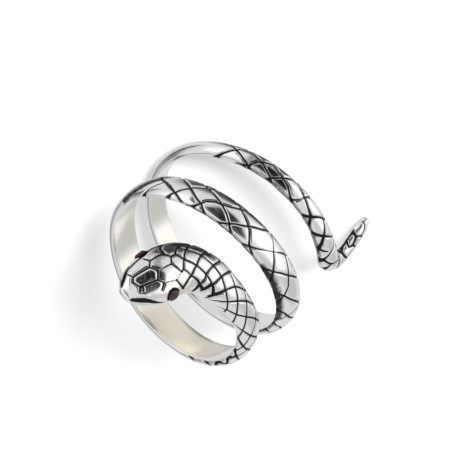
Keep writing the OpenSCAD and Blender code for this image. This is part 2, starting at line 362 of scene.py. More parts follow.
# %% Neck scales
NECK_W, NECK_DEPTH = 0.165, 0.12
NECK_LINES = [
    [(5.34, 0.15), (5.82, 0.18), (6.33, 0.03), (7.56, -0.06), (8.73, -0.15), (9.81, -0.32),
     (10.1, -0.45, 1.3)],
    [(5.79, -0.18), (6.33, 0.03), (6.87, 0.31), (7.4, 0.62), (7.9, 1.2)],
    [(5.79, -0.18), (6.81, -0.35), (7.4, -0.38, 1.2), (8.1, -0.43, 1.8), (8.5, -0.52, 2.3),
     (9.2, -0.63, 2.5)],
    [(9.2, -0.63, 2.5), (9.4, -0.55, 2.3), (9.6, -0.37, 1.6), (9.81, -0.32, 1)],
    [(8.6, -0.43, 1.6), (8.8, -0.3, 1.3), (8.73, -0.15)],
    [(9.6, -0.33, 1.4), (10.0, -0.37, 1.8), (10.6, -0.62, 2.6), (11.0, -0.4, 2.2), (11.24, -0.17, 1.2)],
    [(10.4, -1.1, 1.6), (10.6, -0.62, 2.4)],
    [(5.82, 0.18), (6.25, 0.36), (6.87, 0.31), (8.04, 0.3), (9.21, 0.2), (10.23, 0.06), (11.22, -0.18),
     (12.24, -0.44), (12.88, -0.69), (13.4, -1.2)],
    [(5.13, -0.61, 2), (6.81, -0.35, 1.4), (7.56, -0.06), (8.04, 0.3), (8.6, 0.62), (9.2, 1.2)],
    [(8.2, -0.9, 2.2), (8.4, -0.6, 2.2), (8.5, -0.52, 2)],
    [(8.73, -0.15), (9.21, 0.2), (9.8, 0.6), (10.4, 1.2)],
    [(9.1, -0.7, 1.8), (9.81, -0.32, 1.3), (10.23, 0.06), (10.75, 0.45), (11.3, 0.8), (11.8, 1.2)],
    [(6.25, 0.36), (7.3, 0.62), (8.6, 0.66), (9.9, 0.62), (10.84, 0.48), (11.68, 0.26), (12.96, -0.11),
     (13.96, -0.46), (14.92, -0.93), (15.15, -1.2)],
    [(10.3, -0.78, 1.6), (10.88, -0.46), (11.24, -0.17), (11.84, 0.16), (12.4, 0.35), (13.16, 0.56),
     (13.9, 0.85), (14.4, 1.2)],
    [(9.7, 1.2), (10.6, 0.86), (12.2, 0.72), (13.12, 0.48), (13.84, 0.23), (14.48, 0.01),
     (15.04, -0.16), (16.4, -0.57), (17.6, -0.95), (17.9, -1.2)],
    [(10.9, -1.05), (11.5, -0.72), (12.24, -0.44), (12.96, -0.11), (13.84, 0.23), (14.9, 0.55),
     (15.8, 0.88), (16.2, 1.2)],
    [(12.2, -1.1), (13.16, -0.7), (14.08, -0.49), (15.04, -0.16), (15.8, 0.09), (16.7, 0.36),
     (17.6, 0.68), (18.6, 1.2)],
    [(14.0, 1.2), (14.8, 0.82), (15.8, 0.46), (16.7, 0.17), (17.84, -0.22), (19.28, -0.6),
     (20.1, -0.95), (20.3, -1.2)],
    [(14.9, -1.2), (15.4, -0.95), (16.5, -0.63), (17.84, -0.22), (18.92, 0.23), (19.8, 0.62), (20.8, 1.2)],
]
for line in NECK_LINES:
    engrave(line, NECK_W, NECK_DEPTH)
print(len(NECK_LINES), "neck lines")

# %% [markdown]
# ### Coil
# On the coil two sets of slanting lines cross at the middle and near both edges. They
# were cut by hand, so no two scales are alike, and each line is listed here one by one. At
# the near edge, where the graver was pressed down, the cuts are wide and deep.

# %% Coil scales on the second turn
SECOND_TURN = [
    [(51.0, -1.2, 0.8), (52.3, -0.8, 1.3), (53.5, -0.5, 1.5), (54.2, -0.2, 1.3), (55.1, 0.05, 1),
     (55.8, 0.18, 1)],
    [(54.6, -1.2), (55.0, -0.75), (55.3, -0.4), (56.3, -0.03)],
    [(55.3, 0.5), (55.7, 0.2), (56.8, -0.05), (58.2, -0.45), (58.9, -0.75), (59.4, -1.2)],
    [(57.6, -1.2), (58.0, -0.62), (58.8, -0.2), (59.7, 0.15), (60.3, 0.3), (61.0, 0.5), (62.0, 1.2)],
    [(57.0, 1.2), (57.9, 0.45), (58.8, 0.18), (59.5, -0.03), (60.5, -0.35), (61.2, -0.52),
     (61.5, -0.75), (62.0, -1.2)],
    [(60.3, -1.2), (60.9, -0.65), (61.4, -0.25), (62.1, -0.05), (62.8, 0.02), (63.5, 0.17), (64.5, 0.5),
     (65.6, 1.2)],
    [(59.6, 1.2), (60.5, 0.45), (61.5, 0.28), (62.7, 0), (63.6, -0.25), (64.2, -0.5), (64.9, -0.95),
     (65.1, -1.2)],
    [(63.2, -1.2), (63.8, -0.8), (64.7, -0.35), (65.4, -0.15), (65.8, 0.02), (66.8, 0.35), (68.3, 1.2)],
    [(62.8, 1.2), (64.2, 0.45), (65.5, 0.05), (66.0, -0.12), (66.6, -0.45), (67.0, -0.72),
     (67.7, -0.92), (68.0, -1.2)],
    [(66.2, -1.2), (67.0, -0.7), (68.3, -0.2, 0.5), (69.2, 0.13, 0.5), (70.0, 0.5), (70.6, 0.7),
     (71.2, 1.2)],
    [(66.6, 1.2), (67.6, 0.75), (68.3, 0.43, 0.5), (69.0, 0.05, 0.6), (69.7, -0.18), (70.4, -0.47, 1.3),
     (71.6, -1.2)],
    [(69.4, -1.2), (70.0, -0.63), (70.4, -0.47), (71.0, -0.2), (71.9, 0.1), (73.2, 0.65), (74.0, 1.2)],
    [(69.2, 1.2), (70.2, 0.53), (71.0, 0.32), (71.9, 0.08), (72.8, -0.12), (73.5, -0.45), (73.8, -0.68),
     (74.4, -1.2)],
    [(72.4, -1.2), (72.8, -0.87), (73.5, -0.45), (74.7, -0.07), (76.5, 0.52), (77.6, 1.2)],
    [(75.4, 1.2), (76.4, 0.5), (76.5, 0.17), (76.6, -0.35), (76.9, -0.57), (77.1, -0.85), (77.4, -1.2)],
    [(75.2, -1.2), (76.0, -0.53), (77.4, -0.13), (78.6, 0.3), (79.6, 0.8), (80.2, 1.2)],
    [(78.2, -1.2), (78.7, -0.55), (79.7, -0.25), (81.0, 0.2), (82.2, 0.8), (82.8, 1.2)],
    [(78.6, 1.2), (79.2, 0.6), (79.8, 0), (80.3, -0.6), (80.8, -1.2)],
]
print(len(SECOND_TURN), "lines on the second turn")

# %% Coil scales on the third turn
THIRD_TURN = [
    [(115.0, -1.2), (115.8, -0.62), (116.5, -0.23), (116.9, 0), (117.5, 0.35), (118.8, 1.2)],
    [(115.2, 1.2), (115.7, 0.52), (116.9, 0), (117.6, -0.32), (118.3, -0.7), (118.9, -1.2)],
    [(117.5, -1.2), (118.6, -0.78), (118.8, -0.48), (119.2, -0.12), (119.6, 0.05), (120.3, 0.45),
     (121.2, 1.2)],
    [(117.2, 1.2), (117.9, 0.5), (119.0, 0.1), (119.6, -0.1), (120.2, -0.38), (120.8, -0.67),
     (121.3, -1.2)],
    [(120.5, -1.2), (120.9, -0.65), (121.4, -0.28), (121.7, -0.07), (122.2, 0.32), (122.7, 0.68),
     (123.2, 1.2)],
    [(119.7, 1.2), (120.2, 0.6), (121.0, 0.1), (121.7, -0.07), (122.5, -0.28), (123.1, -0.65),
     (124.1, -1.2)],
    [(123.3, -1.2), (123.7, -0.7), (124.0, -0.3, 0.6), (124.2, 0.07, 0.8), (124.7, 0.72), (125.0, 1.2)],
    [(122.0, 1.2), (122.7, 0.68), (123.5, 0.25), (124.3, 0), (124.9, -0.18), (125.7, -0.37, 1.8),
     (126.2, -0.7, 2), (126.8, -1.2)],
    [(125.2, -1.2), (125.5, -0.82, 2), (125.9, -0.4, 1.8), (126.4, 0.1), (126.8, 0.35), (127.3, 0.8),
     (127.6, 1.2)],
    [(124.6, 1.2), (125.7, 0.72), (126.8, 0.3), (127.4, 0.13), (127.9, -0.07, 1.4), (128.7, -0.53, 2.4),
     (129.4, -1.2)],
    [(127.2, -1.2), (127.6, -0.73, 2), (128.1, -0.2, 1.5), (128.6, 0.27, 0.8), (129.2, 0.7), (129.6, 1.2)],
    [(128.6, 1.2), (129.3, 0.55), (129.7, 0.25), (130.0, -0.08), (130.3, -0.53), (130.5, -1.2)],
    [(129.0, -1.2), (129.2, -0.78), (129.7, -0.27, 0.9)],
    [(130.3, -1.2), (130.5, -0.55), (131.1, -0.2), (131.8, 0.2, 0.8)],
    [(131.1, -0.2), (131.2, -0.47), (131.3, -1.2)],
]
print(len(THIRD_TURN), "lines on the third turn")

# %% Cuts on the hook
# A few heavy cuts go across the hook, and one rounded scale is at its tip.
HOOK_LINES = [
    [(131.1, 1.2, 1), (131.1, 0.58, 1), (132.0, 0.38, 1.3), (132.3, 0, 1.4), (132.4, -0.8, 1)],
    [(133.2, 1.2, 1.6), (133.3, 0.7, 1.8), (133.3, 0.32, 1.6), (133.5, -0.2, 0.8), (134.0, -1.2, 0.8)],
    [(133.9, 1.1, 1.4), (133.3, 0.7, 1.4)],
    [(134.6, 1.0, 1.3), (134.3, 0.58, 1.1), (134.7, 0.28, 1.4), (134.8, -0.3, 0.8), (135.2, -1.2, 0.8)],
    [(135.7, 1.1, 1.7), (135.5, 0.55, 1.7), (135.2, 0.4, 1.5), (134.7, 0.28, 1.4)],
    [(135.5, 0.55, 1), (135.8, 0.1, 0.9), (136.0, -0.5, 0.8)],
    [(137.0, 0.9, 0.8), (136.9, 0.4, 0.8), (136.4, 0.08, 0.8), (135.8, 0.1, 0.8)],
    [(133.6, 1.1, 1.2), (135.6, 1.1, 1.2)],
]
print(len(HOOK_LINES), "lines on the hook")

# %% Even scales behind the neck
# Between the neck and the plain back the scales are even, so two slanting lines repeat.
EVEN_PLACES, EVEN_L, EVEN_SHIFT = (19.5, 21.8, 24.1, 26.4), 2.3, 1.1
EVEN_Q = (-1.2, -0.5, 0, 0.5, 1.2)
COIL_LINES = SECOND_TURN + THIRD_TURN
for middle in EVEN_PLACES:
    COIL_LINES.append([(middle + EVEN_L * q, -q) for q in EVEN_Q])
    COIL_LINES.append([(middle + EVEN_SHIFT + EVEN_L * q, q) for q in EVEN_Q])
print(len(COIL_LINES), "coil lines in all")

# %% Press the coil lines in
COIL_DEPTH = 0.13
NEAR_PRESS, FAR_PRESS, LIGHT_PRESS = 1.1, 0.4, 0.95


def pressed(points):
    """Widens a cut towards the edges, most at the near one, unless its width is given."""
    full = []
    for p in points:
        more = NEAR_PRESS if p[1] < 0 else FAR_PRESS
        full.append(p if len(p) > 2 else (*p, LIGHT_PRESS + more * abs(p[1]) ** 3))
    return full


for line in COIL_LINES + HOOK_LINES:
    engrave(pressed(line), CUT_W, COIL_DEPTH)
print("deepest cut", round(sunk.max(), 3), "mm")

# %% [markdown]
# ### Mouth
# The mouth is a deep slit along each side of the snout, widest near its front end,
# and black inside, because no polishing wheel reaches it.

# %% Mouth slit
MOUTH_W, MOUTH_DEPTH = 0.58, 0.3
MOUTH = [
    (0.12, 0.66, 0.5), (0.35, 0.68, 0.9), (0.85, 0.64, 1), (1.3, 0.7, 0.85), (2.0, 0.83, 0.55),
    (2.9, 0.94, 0.3),
]
for side in (-1, 1):
    engrave([(s, q * side, share) for s, q, share in MOUTH], MOUTH_W, MOUTH_DEPTH)
# No line runs over the round tip of the nose.
TIP_ROWS = CAP_ROWS - 1
groove[:TIP_ROWS], sunk[:TIP_ROWS] = UNTOUCHED, 0
print("the mouth is", round(MOUTH[-1][0] - MOUTH[0][0], 2), "mm long on each side")

# %% [markdown]
# ### Where the black was left, and painted reflections
# The polishing wheel rides on the high middle of the band. Along its edges, and behind
# the crown of the head, the sulphide was only half rubbed off and leaves a grey veil.
# Part of this grey is painted dark reflection, as on the crown.

# %% Grey strips of veil and painted dark reflection
# Each is: width, amount, points.
VEIL_AND_REFLECTION_STRIPS = [
    # Behind the crown, a painted dark reflection on the crown, and along the far side of the neck.
    (2.0, 1, [(5.7, 0.78), (6.6, 0.66), (8.4, 0.66)]),
    (1.0, 0.42, [(3.6, 0.1, 0.6), (4.9, 0.28), (6.2, 0.36)]),
    (1.3, 0.8, [(7.4, 0.8), (10, 0.84), (14, 0.92), (18, 1.0)]),
    # The second turn: both rims and the end of its scales.
    (1.1, 0.85, [(50, 1.05), (53, 0.88), (57, 0.86)]),
    (1.25, 0.9, [(51.8, -0.85), (52.8, -0.5), (53.9, -0.2), (54.9, 0.22), (56.2, 0.6)]),
    (1.2, 0.75, [(56, 0.9), (62, 0.76), (66, 0.76), (69, 1)]),
    (0.6, 0.7, [(60, -1.1), (69, -1.1)]),
    (1.3, 1, [(69.6, -0.95), (71, -0.86), (72.5, -0.86), (74.5, -0.92), (76.5, -1.0)]),
    (0.7, 0.8, [(76.5, -1.2), (82, -1.2)]),
    # The third turn and the hook.
    (0.65, 0.6, [(117.5, -1.1), (120.8, -0.98), (123.3, -1.05), (126, -1.0), (129.8, -0.95)]),
    (0.6, 0.62, [(117.5, 1.05), (124, 1.0), (130, 1.05)]),
    (1.2, 0.55, [(118.6, -0.3), (120.4, -0.2), (122.2, -0.45)]),
    (0.4, 0.8, [(133.4, 1.05), (135.8, 1.05)]),
]
for width, amount, line in VEIL_AND_REFLECTION_STRIPS:
    veil_and_painted_reflection(line, width, amount)
print(len(VEIL_AND_REFLECTION_STRIPS), "stained strips over", round(100 * (dark > 0.3).mean()), "per cent of the grid")

# %% [markdown]
# ## The casting
# A flat grid is made, its points are moved onto the wrapped skin, the seam along the
# sole and the two end points are merged, and the normals are turned outward. The
# sole gets the satin finish, and the rest the polished and blackened one.

# %% Skin points
def skin_points():
    side = across * (half_w[:, None] - np.where(on_sole, 0, sunk)) + EDGE_R * round_in
    up = section[:, 4:5] + height_on_wall + 0 * side
    a = np.radians(90) * column_q[on_dome]
    power = square[:, None]
    lobe = np.sign(a) * np.abs(np.sin(a)) ** power
    crest = np.maximum(np.cos(a), 0) ** power
    side[:, on_dome] = lobe * (half_w[:, None] - sunk[:, on_dome])
    up[:, on_dome] = section[:, 4:5] + EDGE_H + (dome_h[:, None] - sunk[:, on_dome]) * crest
    centre = (section[:, 3:4] + section[:, 4:5]) / 2
    side, up = side * row_size[:, None], centre + (up - centre) * row_size[:, None]
    way = heading(row_s)
    x = section[:, 0:1] + way[:, :1] * row_push[:, None] - way[:, 1:] * side
    y = section[:, 1:2] + way[:, 1:] * row_push[:, None] + way[:, :1] * side
    return lay_down(wrap(x, y, up))


skin = skin_points()
low, high = skin.min(axis=(0, 1)), skin.max(axis=(0, 1))
seat = np.array([(low[0] + high[0]) / 2, (low[1] + high[1]) / 2, low[2]])
skin -= seat
print("the skin is moved by", -seat.round(3), "mm, to the middle of the frame and onto the floor")
print("skin from", skin.min(axis=(0, 1)).round(2), "to", skin.max(axis=(0, 1)).round(2), "mm")

# %% A flat grid, moved onto the skin
casting = bpy.data.meshes.new("snake_casting")
bm = bmesh.new()
bmesh.ops.create_grid(bm, x_segments=len(row_s) - 1, y_segments=len(below) - 1, size=1)
bm.to_mesh(casting)
bm.free()
flat = np.empty(len(casting.vertices) * 3)
casting.vertices.foreach_get("co", flat)
flat = flat.reshape(-1, 3)
row_of = np.rint((flat[:, 0] + 1) / 2 * (len(row_s) - 1)).astype(int)
column_of = np.rint((flat[:, 1] + 1) / 2 * (len(below) - 1)).astype(int)
casting.vertices.foreach_set("co", (skin[row_of, column_of] * MM).ravel())
print(len(casting.vertices), "points on the skin")

# %% Cuts, the veil with its painted dark reflection, and streaks go with the points
corners = np.empty(len(casting.loops), int)
casting.loops.foreach_get("vertex_index", corners)
sole_face = on_sole[column_of[corners]].reshape(-1, 4).all(axis=1)
casting.polygons.foreach_set("material_index", sole_face.astype(int))
for name, values in (("groove", groove), ("veil_and_painted_reflection", dark)):
    layer = casting.attributes.new(name, "FLOAT", "POINT")
    layer.data.foreach_set("value", values[row_of, column_of])
strip_place = np.stack([flat_s[row_of, column_of], flat_y[row_of, column_of]], axis=1)
casting.uv_layers.new(name="strip").data.foreach_set("uv", strip_place[corners].ravel())
print(int(sole_face.sum()), "of", len(sole_face), "faces are on the sole")

# %% Weld the seam and the ends
WELD = 2e-7
bm = bmesh.new()
bm.from_mesh(casting)
bmesh.ops.remove_doubles(bm, verts=bm.verts, dist=WELD)
bmesh.ops.recalc_face_normals(bm, faces=bm.faces)
open_edges = sum(e.is_boundary for e in bm.edges)
print("open edges:", open_edges, "volume:", round(bm.calc_volume() / MM**3, 1), "mm3")
for face in bm.faces:
    face.smooth = True
bm.to_mesh(casting)
bm.free()
snake = bpy.data.objects.new("snake_casting", casting)
bpy.context.scene.collection.objects.link(snake)
print(len(casting.polygons) * 2, "triangles")

# %% [markdown]
# ## Eye sockets and stones
# Each eye is a small dark round stone, set in a drilled seat. The skin's points next
# to the seat's rim are moved onto it, the faces inside are taken out, and the rim is
# pulled inward to make the wall of the hole, which keeps the casting closed.

# %% Place and direction of an eye
EYE_D, EYE_CROWN, EYE_PAVILION, EYE_GAP = 1.25, 0.16, 0.4, 0.04
EYE_S, EYE_LEFT_Q, EYE_RIGHT_Q = NECK_S * 0.72, 0.78, -0.68
GIRDLE = 0.05 * EYE_D
ALONG_STEP, OVER_STEP = 0.3, 0.05


def dome_point(s, q):
    m, way = route(np.array([s])), heading(np.array([s]))
    lobe = math.sin(math.radians(90 * abs(q))) ** HEAD_SQUARE
    crest = math.cos(math.radians(90 * q)) ** HEAD_SQUARE
    side = math.copysign(lobe * m[0, 2] / 2, q)
    up = m[0, 4] + EDGE_H + (m[0, 3] - m[0, 4] - EDGE_H) * crest
    return lay_down(wrap(m[0, 0] - way[0, 1] * side, m[0, 1] + way[0, 0] * side, up), seat)


def eye_place(q):
    """A turn and a place that put the eye's own Z axis out of the head."""
    along = dome_point(EYE_S + ALONG_STEP, q) - dome_point(EYE_S - ALONG_STEP, q)
    over = dome_point(EYE_S, q + OVER_STEP) - dome_point(EYE_S, q - OVER_STEP)
    out = Vector(np.cross(along, over)).normalized()
    turn = out.to_track_quat("Z", "X").to_matrix().to_4x4()
    return Matrix.Translation(Vector(dome_point(EYE_S, q)) * MM) @ turn @ Matrix.Scale(MM, 4)


eyes = {"eye_left": eye_place(EYE_LEFT_Q), "eye_right": eye_place(EYE_RIGHT_Q)}
for name, place in eyes.items():
    low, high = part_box(name)
    print(name, "off its solid by", [round(x / MM, 3) for x in (place.translation - (low + high) / 2)], "mm")

# %% Cut the sockets
SEAT_R, SEAT_DEPTH = EYE_D / 2 + EYE_GAP, EYE_PAVILION + EYE_GAP
# Points this near to the eye are looked at, and those this near to the rim move onto it.
NEARBY, SNAP, TOUCH = 1.2 * MM, 0.055, 1e-4
# The black round the rim fades over this width.
RIM_BLACK = 0.06


def of_kind(geom, kind):
    """The points, or the edges, of what an operator gives back."""
    return [g for g in geom if isinstance(g, kind)]


def cut_socket(bm, cut, place):
    back = place.inverted()
    local = {v: back @ v.co for v in bm.verts if (v.co - place.translation).length < NEARBY}
    for v, p in local.items():
        r = math.hypot(p.x, p.y)
        if abs(r - SEAT_R) < SNAP:
            p.x, p.y = p.x * SEAT_R / r, p.y * SEAT_R / r
            v.co = place @ p
        v[cut] = min(v[cut], max(0, (r - SEAT_R) / RIM_BLACK))
    in_seat = {v for v, p in local.items() if math.hypot(p.x, p.y) < SEAT_R + TOUCH}
    inside = [f for f in bm.faces if all(v in in_seat for v in f.verts)]
    bmesh.ops.delete(bm, geom=inside, context="FACES")
    rim = [e for e in bm.edges if e.is_boundary]
    wall = bmesh.ops.extrude_edge_only(bm, edges=rim)["geom"]
    for v in of_kind(wall, bmesh.types.BMVert):
        p = back @ v.co
        v.co = place @ Vector((p.x, p.y, -SEAT_DEPTH))
        v[cut] = 0
    bmesh.ops.holes_fill(bm, edges=[e for e in of_kind(wall, bmesh.types.BMEdge) if e.is_boundary])
    return len(inside), len(rim)


bm = bmesh.new()
bm.from_mesh(casting)
groove_layer = bm.verts.layers.float["groove"]
for name, place in eyes.items():
    taken, rim_edges = cut_socket(bm, groove_layer, place)
    open_edges = sum(e.is_boundary for e in bm.edges)
    print(name, "socket:", taken, "faces out,", rim_edges, "rim edges, open edges left:", open_edges)
bm.to_mesh(casting)
bm.free()

# %% [markdown]
# The stone is a real cut: a table, eight crown facets with a star between them, a
# thin girdle and a pointed pavilion. The table is a circle of eight edges. Its edges
# are extruded to the next ring below, which turns by half a facet at the crown, and
# those again, down to the point.

# %% Cut an eye stone
FACETS, TABLE_R, CULET_R = 8, 0.3 * EYE_D, 0.1 * EYE_D
HALF_FACET = 180 / FACETS
# Each ring is: radius, height, turn.
STONE_RINGS = [
    (EYE_D / 2, GIRDLE, HALF_FACET),
    (EYE_D / 2, 0, 0),
    (CULET_R, -EYE_PAVILION, 0),
]


def eye_stone(name, place):
    bm = bmesh.new()
    bmesh.ops.create_circle(bm, segments=FACETS, radius=TABLE_R, cap_ends=True)
    bmesh.ops.translate(bm, verts=bm.verts, vec=(0, 0, GIRDLE + EYE_CROWN))
    edges = list(bm.edges)
    for radius, height, turn in STONE_RINGS:
        ring = bmesh.ops.extrude_edge_only(bm, edges=edges)["geom"]
        edges = [e for e in of_kind(ring, bmesh.types.BMEdge) if e.is_boundary]
        for v in of_kind(ring, bmesh.types.BMVert):
            a = math.atan2(v.co.y, v.co.x) + math.radians(turn)
            v.co = (radius * math.cos(a), radius * math.sin(a), height)
    bmesh.ops.holes_fill(bm, edges=edges)
    bmesh.ops.recalc_face_normals(bm, faces=bm.faces)
    bmesh.ops.transform(bm, matrix=place, verts=bm.verts)
    mesh = bpy.data.meshes.new(name)
    bm.to_mesh(mesh)
    bm.free()
    stone = bpy.data.objects.new(name, mesh)
    bpy.context.scene.collection.objects.link(stone)
    return stone


stones = {name: eye_stone(name + "_stone", place) for name, place in eyes.items()}
print("each stone has", len(stones["eye_left"].data.polygons), "faces")

# %% [markdown]
# ## Finishes
# Two finishes share the casting. The outside is sterling silver, polished on a wheel
# after it was blackened with liver of sulphur: silver is almost white and mirror
# bright, and the black sulphide is dull and stays only in the cuts. One material
# holds both and mixes them by the groove attribute, so that every cut has an edge
# as crisp as the real one without a picture.

# %% Helpers for the finishes
# A Mix node lists the sockets of all its kinds, and these are the ones for colours.
MIX_A, MIX_B, MIX_OUT = 6, 7, 2


def colour(code):
    """An sRGB hex colour as linear RGBA."""
    parts = [int(code[i : i + 2], 16) / 255 for i in (1, 3, 5)]
    return [p / 12.92 if p <= 0.04045 else ((p + 0.055) / 1.055) ** 2.4 for p in parts] + [1]


def add(tree, kind, settings=None, inputs=None):
    """Adds a node with its settings and links."""
    node = tree.nodes.new(kind)
    for key, value in (settings or {}).items():
        setattr(node, key, value)
    for key, value in (inputs or {}).items():
        if isinstance(value, bpy.types.NodeSocket):
            tree.links.new(value, node.inputs[key])
        else:
            node.inputs[key].default_value = value
    return node


def finish_of(name):
    material = bpy.data.materials.new(name)
    material.use_nodes = True
    material.node_tree.nodes.clear()
    return material, material.node_tree


SOFT = {"interpolation_type": "SMOOTHSTEP"}
COLOURS = {"data_type": "RGBA"}
print("mid grey in linear light:", [round(x, 3) for x in colour("#808080")])

# %% Polished and blackened silver: the cuts
polished, tree = finish_of("sterling_silver_polished_and_blackened")
cut = add(tree, "ShaderNodeAttribute", {"attribute_name": "groove"}).outputs["Fac"]
# The black ends at the line's edge, and a faint grey halo darkens the skin next to it.
black = add(tree, "ShaderNodeMapRange", SOFT,
            {"Value": cut, "From Min": 0.85, "From Max": 1.25, "To Min": 1.0, "To Max": 0.0}).outputs[0]
halo = add(tree, "ShaderNodeMapRange", SOFT,
           {"Value": cut, "From Min": 1.0, "From Max": 2.4, "To Min": 0.2, "To Max": 0.0}).outputs[0]
shine = add(tree, "ShaderNodeMix", COLOURS,
            {"Factor": halo, MIX_A: colour("#F3F2F0"), MIX_B: colour("#6E6A63")}).outputs[MIX_OUT]
print("cuts and halo:", len(tree.nodes), "nodes")

# %% Polished and blackened silver: the surface
# Hand polishing leaves the dome very slightly uneven, over about 2 mm.
WAVE_L, WAVE_H = 2.2 * MM, 0.06 * MM
place = add(tree, "ShaderNodeTexCoord").outputs["Object"]
wave = add(tree, "ShaderNodeTexNoise", None,
           {"Vector": place, "Scale": 1 / WAVE_L, "Detail": 1.0}).outputs["Fac"]
ripple = add(tree, "ShaderNodeBump", None,
             {"Height": wave, "Strength": 0.6, "Distance": WAVE_H}).outputs[0]
# The wheel leaves faint streaks along the band, about 0.15 mm apart and 2 mm long.
WHEEL_STREAK, WHEEL_H = (1 / 2, 6.5, 1), 0.006 * MM
strip = add(tree, "ShaderNodeUVMap", {"uv_map": "strip"}).outputs[0]
along = add(tree, "ShaderNodeMapping", None, {"Vector": strip, "Scale": WHEEL_STREAK}).outputs[0]
scratch = add(tree, "ShaderNodeTexNoise", None,
              {"Vector": along, "Scale": 1.0, "Detail": 2.0}).outputs["Fac"]
ripple = add(tree, "ShaderNodeBump", None,
             {"Height": scratch, "Strength": 0.5, "Distance": WHEEL_H, "Normal": ripple}).outputs[0]
print("with its two bumps:", len(tree.nodes), "nodes")

# %% Polished and blackened silver: the veil and painted dark reflections
# The veil, partly sulphide and partly painted dark reflection, is patchy, over about a third of a millimetre,
# and clear skin stays clear.
PATCH_L, PATCH_HEIGHT, VEIL_AND_REFLECTION_GAIN, CLEAR_GAIN = 0.35 * MM, 1.2, 1.15, 3.0
veil_and_reflection = add(tree, "ShaderNodeAttribute", {"attribute_name": "veil_and_painted_reflection"}).outputs["Fac"]
patch = add(tree, "ShaderNodeTexNoise", None,
            {"Vector": place, "Scale": 1 / PATCH_L, "Detail": 3.0}).outputs["Fac"]
patchy = add(tree, "ShaderNodeMath", {"operation": "MULTIPLY_ADD"},
             {0: patch, 1: PATCH_HEIGHT, 2: -PATCH_HEIGHT / 2}).outputs[0]
veil_and_reflection_mix = add(tree, "ShaderNodeMath", {"operation": "MULTIPLY_ADD", "use_clamp": True},
           {0: veil_and_reflection, 1: VEIL_AND_REFLECTION_GAIN, 2: patchy}).outputs[0]
only_there = add(tree, "ShaderNodeMath", {"operation": "MULTIPLY", "use_clamp": True},
                 {0: veil_and_reflection, 1: CLEAR_GAIN}).outputs[0]
veil_and_reflection_mix = add(tree, "ShaderNodeMath", {"operation": "MULTIPLY"}, {0: veil_and_reflection_mix, 1: only_there}).outputs[0]
shine = add(tree, "ShaderNodeMix", COLOURS,
            {"Factor": veil_and_reflection_mix, MIX_A: shine, MIX_B: colour("#403D3A")}).outputs[MIX_OUT]
print("with the veil:", len(tree.nodes), "nodes")

# %% Polished and blackened silver: put together
# The sulphide is a dull dark crust: rougher, hardly metallic and with little gloss.
face = add(tree, "ShaderNodeMix", COLOURS,
           {"Factor": black, MIX_A: shine, MIX_B: colour("#141210")}).outputs[MIX_OUT]
rough = add(tree, "ShaderNodeMapRange", None, {"Value": black, "To Min": 0.1, "To Max": 0.55}).outputs[0]
metal = add(tree, "ShaderNodeMapRange", None, {"Value": black, "To Min": 1.0, "To Max": 0.2}).outputs[0]
gloss = add(tree, "ShaderNodeMapRange", None, {"Value": black, "To Min": 0.5, "To Max": 0.12}).outputs[0]
bsdf = add(tree, "ShaderNodeBsdfPrincipled", None,
           {"Base Color": face, "Roughness": rough, "Metallic": metal, "Specular IOR Level": gloss,
            "Normal": ripple})
add(tree, "ShaderNodeOutputMaterial", None, {"Surface": bsdf.outputs[0]})
print(polished.name, "has", len(tree.nodes), "nodes")

# %% [markdown]
# The inside was only tumbled and sanded along the band, so it is satin: it gives back
# the light as a broad soft glow, drawn out by fine streaks. The streaks follow the
# strip map, which measures the band in millimetres, so they bend with it.

# %% Satin silver inside
satin, tree = finish_of("sterling_silver_satin")
strip = add(tree, "ShaderNodeUVMap", {"uv_map": "strip"}).outputs[0]
# Sanding streaks, about 0.08 mm apart and some 3 mm long.
SANDING, SANDING_H = (0.35, 12, 1), 0.004 * MM
stretched = add(tree, "ShaderNodeMapping", None, {"Vector": strip, "Scale": SANDING}).outputs[0]
streak = add(tree, "ShaderNodeTexNoise", None,
             {"Vector": stretched, "Scale": 1.0, "Detail": 3.0}).outputs["Fac"]
rough = add(tree, "ShaderNodeMapRange", None, {"Value": streak, "To Min": 0.12, "To Max": 0.26}).outputs[0]
tone = add(tree, "ShaderNodeMix", COLOURS,
           {"Factor": streak, MIX_A: colour("#F0EFEC"), MIX_B: colour("#FAF9F6")}).outputs[MIX_OUT]
# The low side of the loop next to the head gets a painted warm yellow highlight.
WARM_HIGHLIGHT_S, WARM_HIGHLIGHT_FULL, WARM_HIGHLIGHT_ENDS = 33.0, 3.0, 9.0
s_place = add(tree, "ShaderNodeSeparateXYZ", None, {"Vector": strip}).outputs[0]
past = add(tree, "ShaderNodeMath", {"operation": "SUBTRACT"}, {0: s_place, 1: WARM_HIGHLIGHT_S}).outputs[0]
off = add(tree, "ShaderNodeMath", {"operation": "ABSOLUTE"}, {0: past}).outputs[0]
warm_highlight = add(tree, "ShaderNodeMapRange", SOFT,
             {"Value": off, "From Min": WARM_HIGHLIGHT_FULL, "From Max": WARM_HIGHLIGHT_ENDS, "To Min": 0.7,
              "To Max": 0.0}).outputs[0]
tone = add(tree, "ShaderNodeMix", COLOURS,
           {"Factor": warm_highlight, MIX_A: tone, MIX_B: colour("#FCF2DC")}).outputs[MIX_OUT]
relief = add(tree, "ShaderNodeBump", None,
             {"Height": streak, "Strength": 0.25, "Distance": SANDING_H}).outputs[0]
bsdf = add(tree, "ShaderNodeBsdfPrincipled", None,
           {"Base Color": tone, "Roughness": rough, "Metallic": 1.0, "Normal": relief})
add(tree, "ShaderNodeOutputMaterial", None, {"Surface": bsdf.outputs[0]})
print(satin.name, "has", len(tree.nodes), "nodes")

# %% [markdown]
# The stones are garnet, cut and polished. At a millimetre across they are so dark
# that hardly any light comes through, so a dark plum body with a bright hard gloss
# shows them as they look, and glass-like see-through would add nothing.

